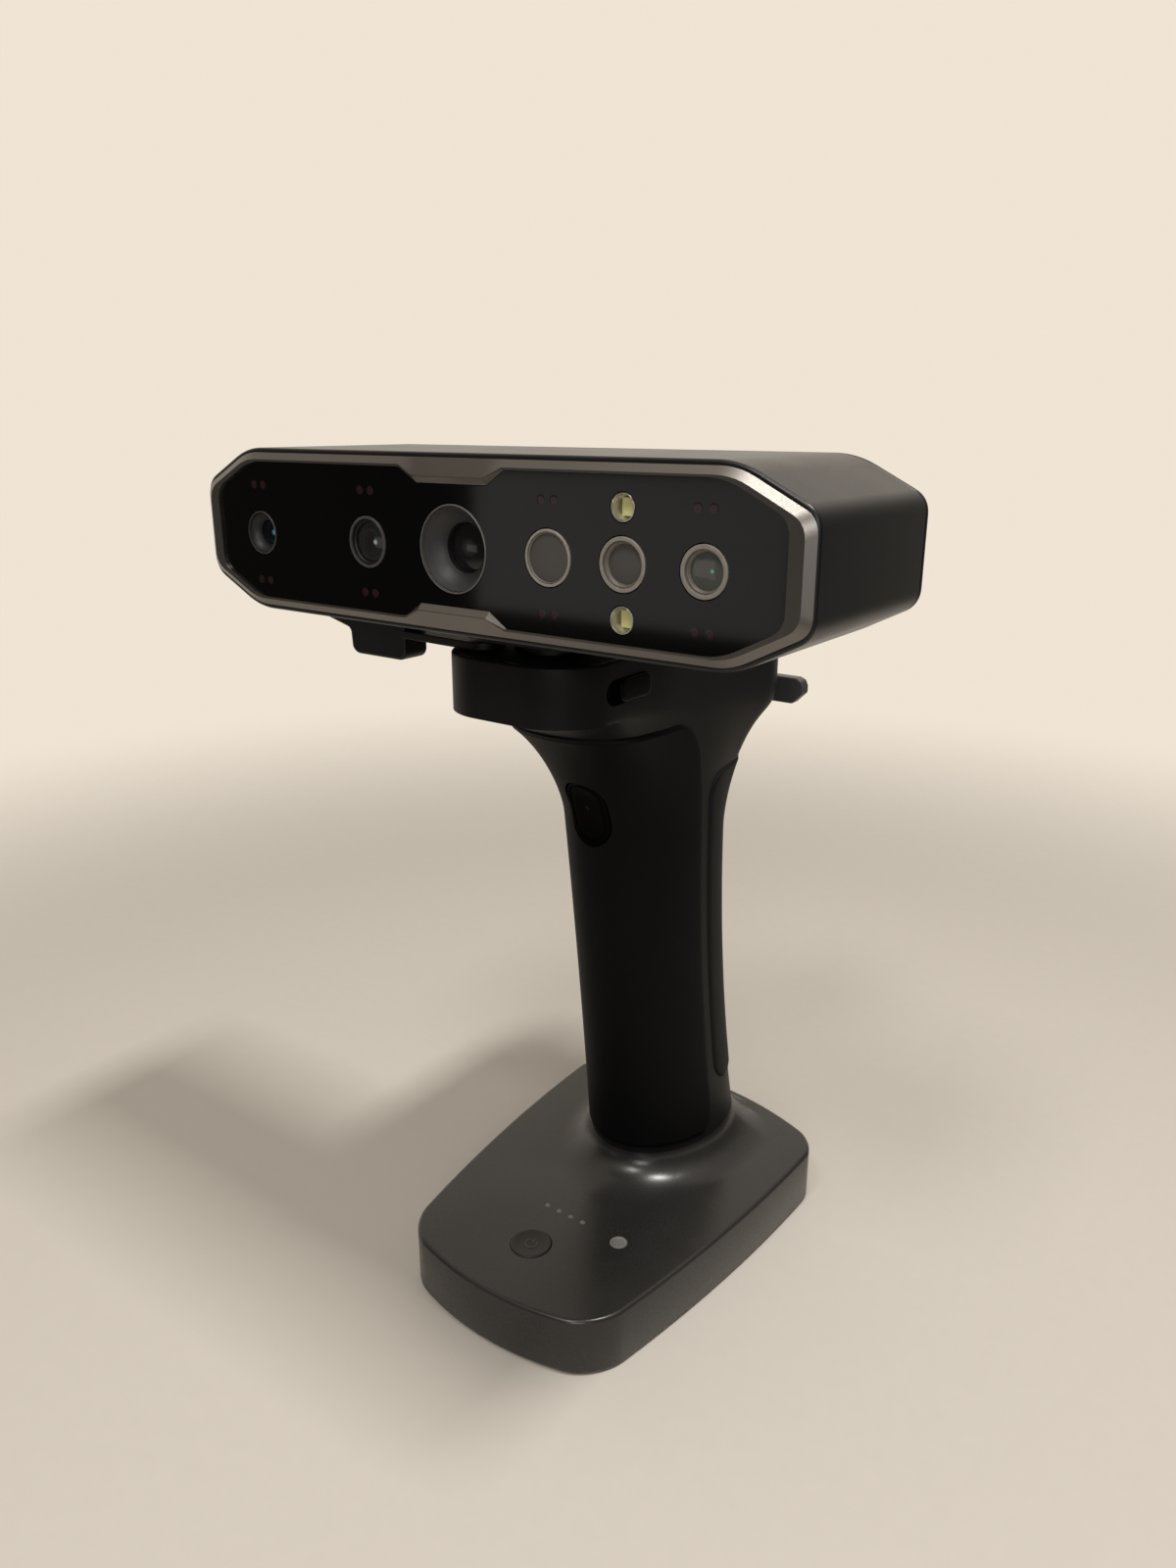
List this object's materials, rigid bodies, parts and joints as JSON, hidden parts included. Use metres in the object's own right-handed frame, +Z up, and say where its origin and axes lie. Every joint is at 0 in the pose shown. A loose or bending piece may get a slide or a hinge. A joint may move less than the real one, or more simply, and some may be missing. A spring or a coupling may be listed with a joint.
{
  "type": "three-d scanner",
  "caption": "Hand-held three-d scanner: a wide chamfered head with lenses behind dark glass, locked by a quick-release lever onto a trigger grip that stands on a rounded foot",
  "frame": {"origin": "on the ground under the middle of the foot", "axes": "+Z up along the grip, -Y towards the scanned object (the lens side), +X to the right when seen from the lens side"},
  "size_m": [0.203, 0.159, 0.2783],
  "materials": {
    "black_shell": "fine satin texture",
    "bezel_metal": "gunmetal satin",
    "window_glass": "polished black glass",
    "bench_metal": "dark anodised",
    "ring_metal": "turned",
    "lens_glass": "coated lens",
    "phosphor": "phosphor chip",
    "infrared_cap": "dark red clear",
    "board": "solder mask",
    "brass": "machined",
    "steel": "plain",
    "soft_rubber": "soft matt",
    "cell_wrap": "heat-shrink wrap",
    "light_pipe": "frosted"
  },
  "bodies": {
    "frame": {"head_shell": "black_shell", "rear_cover": "black_shell", "front_bezel": "bezel_metal", "front_window": "window_glass", "optical_bench": "bench_metal", "far_left_barrel": "ring_metal", "near_left_barrel": "ring_metal", "projector_barrel": "ring_metal", "laser_barrel": "ring_metal", "colour_barrel": "ring_metal", "right_barrel": "ring_metal", "far_left_lens": "lens_glass", "near_left_lens": "lens_glass", "projector_lens": "lens_glass", "laser_lens": "lens_glass", "colour_lens": "lens_glass", "right_lens": "lens_glass", "white_light_cups": "ring_metal", "white_light_chips": "phosphor", "infrared_lights": "infrared_cap", "sensor_boards": "board", "projector_module": "bench_metal", "heat_sink": "bench_metal", "main_board": "board", "board_standoffs": "brass", "link_socket": "steel", "cover_screws": "steel", "tripod_insert": "brass", "quick_release_plate": "bench_metal", "plate_screw": "steel", "lever_pin": "steel", "handle_shell": "black_shell", "top_deck": "black_shell", "grip_panel": "soft_rubber", "rear_strip": "soft_rubber", "trigger_switch": "board", "ledge_bracket": "black_shell", "ledge_pin": "steel", "spine": "bench_metal", "battery_cells": "cell_wrap", "bridge_board": "board", "base_shell": "black_shell", "base_plate": "black_shell", "foot_pad": "soft_rubber", "power_switch": "board", "charge_lights": "light_pipe", "status_light": "light_pipe", "control_board": "board", "charge_socket": "steel", "base_screws": "steel"},
    "lever": {"lock_lever": "black_shell"},
    "trigger": {"trigger": "black_shell"},
    "power": {"power_button": "black_shell"},
    "slider": {"release_slider": "black_shell", "slider_clip": "steel"},
    "ledge": {"phone_ledge": "black_shell"}
  },
  "joints": [
    {"name": "lever_swing", "type": "hinge", "parent": "frame", "child": "lever", "pos_m": [-0.016, -0.046, 0.2238], "axis": [0, 0, 1], "range_deg": [0, 60]},
    {"name": "trigger_press", "type": "slide", "parent": "frame", "child": "trigger", "axis": [0, 0.9512, 0.3085], "range_m": [0, 0.0015], "stiffness_N_per_m": 1500},
    {"name": "power_press", "type": "slide", "parent": "frame", "child": "power", "axis": [0, 0, -1], "range_m": [0, 0.001], "stiffness_N_per_m": 1500},
    {"name": "slider_shift", "type": "slide", "parent": "frame", "child": "slider", "axis": [0, -1, 0], "range_m": [0, 0.0055]},
    {"name": "ledge_fold", "type": "hinge", "parent": "frame", "child": "ledge", "pos_m": [0, 0.0795, 0.187], "axis": [-1, 0, 0], "range_deg": [0, 90]}
  ]
}
